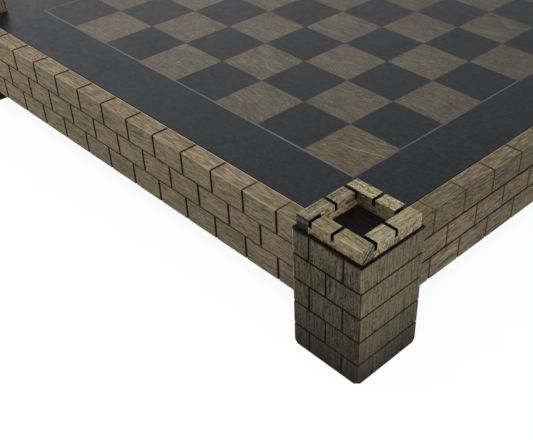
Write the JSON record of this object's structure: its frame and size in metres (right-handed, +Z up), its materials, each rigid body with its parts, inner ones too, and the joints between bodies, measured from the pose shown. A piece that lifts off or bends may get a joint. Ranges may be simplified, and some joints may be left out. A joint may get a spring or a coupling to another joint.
{
  "type": "chessboard",
  "caption": "Square wooden chessboard carried between four carved castle towers, with stone-wall rails and a wide dark border round the field.",
  "frame": {"origin": "on the floor plane under the feet, at the centre of the square board", "axes": "+X to the right-hand side, +Y to the back, +Z up; a light square lies at the front right corner of the field"},
  "size_m": [0.454, 0.454, 0.088],
  "materials": {
    "tower_wood": "stained oak, carved, satin oil, dark towards the foot",
    "crown_wood": "pale hardwood strips, oiled",
    "rail_wood": "grey-brown stained oak, carved, satin oil",
    "panel_plywood": "raw plywood",
    "light_square_wood": "grey-brown open-grained oak, satin lacquer",
    "dark_square_wood": "blue-black stained wood, satin lacquer",
    "pale_inlay": "pale inlay, satin lacquer",
    "dark_border_wood": "blue-black stained wood, satin lacquer",
    "ledger_wood": "raw softwood",
    "dowel_wood": "raw beech",
    "screw_steel": "zinc-plated steel"
  },
  "bodies": {
    "root": {"tower_front_right": "tower_wood", "tower_back_right": "tower_wood", "tower_back_left": "tower_wood", "tower_front_left": "tower_wood", "crown_front_right_strip_front": "crown_wood", "crown_front_right_strip_right": "crown_wood", "crown_front_right_strip_back": "crown_wood", "crown_front_right_strip_left": "crown_wood", "crown_back_right_strip_front": "crown_wood", "crown_back_right_strip_right": "crown_wood", "crown_back_right_strip_back": "crown_wood", "crown_back_right_strip_left": "crown_wood", "crown_back_left_strip_front": "crown_wood", "crown_back_left_strip_right": "crown_wood", "crown_back_left_strip_back": "crown_wood", "crown_back_left_strip_left": "crown_wood", "crown_front_left_strip_front": "crown_wood", "crown_front_left_strip_right": "crown_wood", "crown_front_left_strip_back": "crown_wood", "crown_front_left_strip_left": "crown_wood", "rail_front": "rail_wood", "rail_right": "rail_wood", "rail_back": "rail_wood", "rail_left": "rail_wood", "base_panel": "panel_plywood", "light_squares_rank_1": "light_square_wood", "light_squares_rank_2": "light_square_wood", "light_squares_rank_3": "light_square_wood", "light_squares_rank_4": "light_square_wood", "light_squares_rank_5": "light_square_wood", "light_squares_rank_6": "light_square_wood", "light_squares_rank_7": "light_square_wood", "light_squares_rank_8": "light_square_wood", "dark_squares_rank_1": "dark_square_wood", "dark_squares_rank_2": "dark_square_wood", "dark_squares_rank_3": "dark_square_wood", "dark_squares_rank_4": "dark_square_wood", "dark_squares_rank_5": "dark_square_wood", "dark_squares_rank_6": "dark_square_wood", "dark_squares_rank_7": "dark_square_wood", "dark_squares_rank_8": "dark_square_wood", "inlaid_line_front": "pale_inlay", "inlaid_line_right": "pale_inlay", "inlaid_line_back": "pale_inlay", "inlaid_line_left": "pale_inlay", "border_front": "dark_border_wood", "border_right": "dark_border_wood", "border_back": "dark_border_wood", "border_left": "dark_border_wood", "ledger_front": "ledger_wood", "ledger_right": "ledger_wood", "ledger_back": "ledger_wood", "ledger_left": "ledger_wood", "rail_dowels": "dowel_wood", "panel_screws": "screw_steel"}
  },
  "joints": []
}
